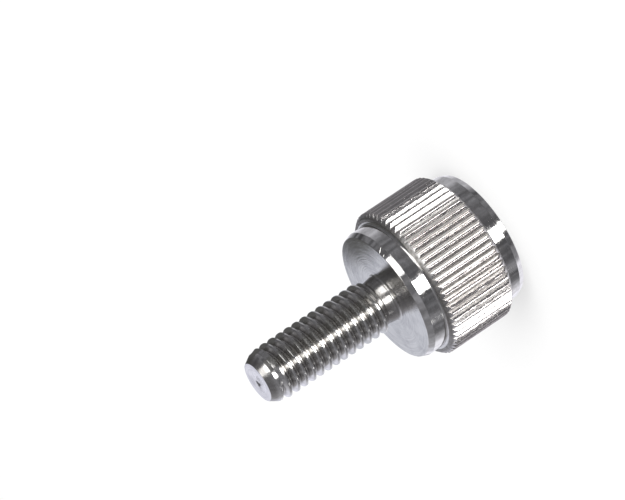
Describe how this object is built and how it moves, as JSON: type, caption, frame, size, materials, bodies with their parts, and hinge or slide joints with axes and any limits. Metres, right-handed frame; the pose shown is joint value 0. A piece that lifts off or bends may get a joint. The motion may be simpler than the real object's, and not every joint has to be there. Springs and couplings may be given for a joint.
{
  "type": "thumb screw",
  "caption": "Knurled thumb screw in bright nickel plate: a straight-knurled round head between plain collars, on a metric threaded shank with a chamfered tip.",
  "frame": {"origin": "centre of the head's flat top face, which the screw stands on", "axes": "+Z along the screw's axis, from the head's top face to the thread's tip"},
  "size_m": [0.0164, 0.0164, 0.0282],
  "materials": {
    "nickel_plate": "bright nickel plate over turned brass, with fine turning marks"
  },
  "bodies": {
    "root": {"thumb_screw": "nickel_plate"}
  },
  "joints": []
}
